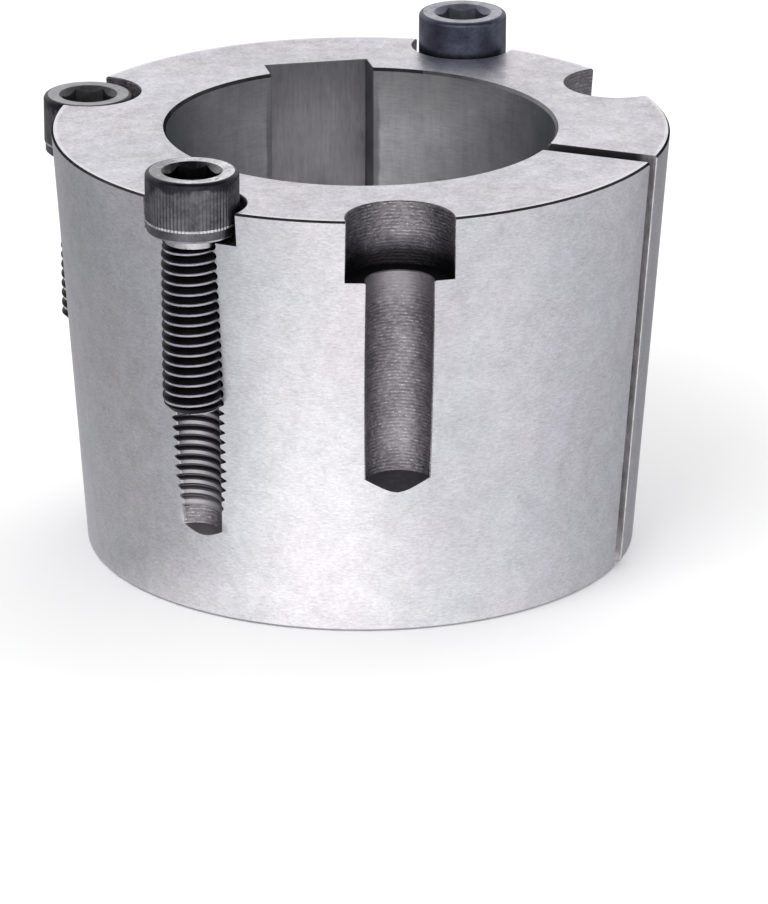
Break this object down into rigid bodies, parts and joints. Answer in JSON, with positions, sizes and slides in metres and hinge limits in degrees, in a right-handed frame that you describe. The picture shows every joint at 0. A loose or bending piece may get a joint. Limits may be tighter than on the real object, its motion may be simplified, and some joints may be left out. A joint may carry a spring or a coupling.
{
  "type": "taper bush",
  "caption": "Split tapered sleeve with a keyed shaft bore, half-round screw holes along its outside and socket head cap screws.",
  "frame": {"origin": "centre of the small end's face, where the bush stands", "axes": "+Z along the bore axis from the small end to the large end with the screw heads; +Y from the axis through the middle of the keyway"},
  "size_m": [0.127, 0.1267, 0.0963],
  "materials": {
    "machined_iron": "ground and turned, satin, light grey",
    "black_oxide_steel": "black oxide, satin, rubbed bright on the crests"
  },
  "bodies": {
    "root": {"bush": "machined_iron", "cap_screw_front": "black_oxide_steel", "cap_screw_left": "black_oxide_steel", "cap_screw_back": "black_oxide_steel"}
  },
  "joints": []
}
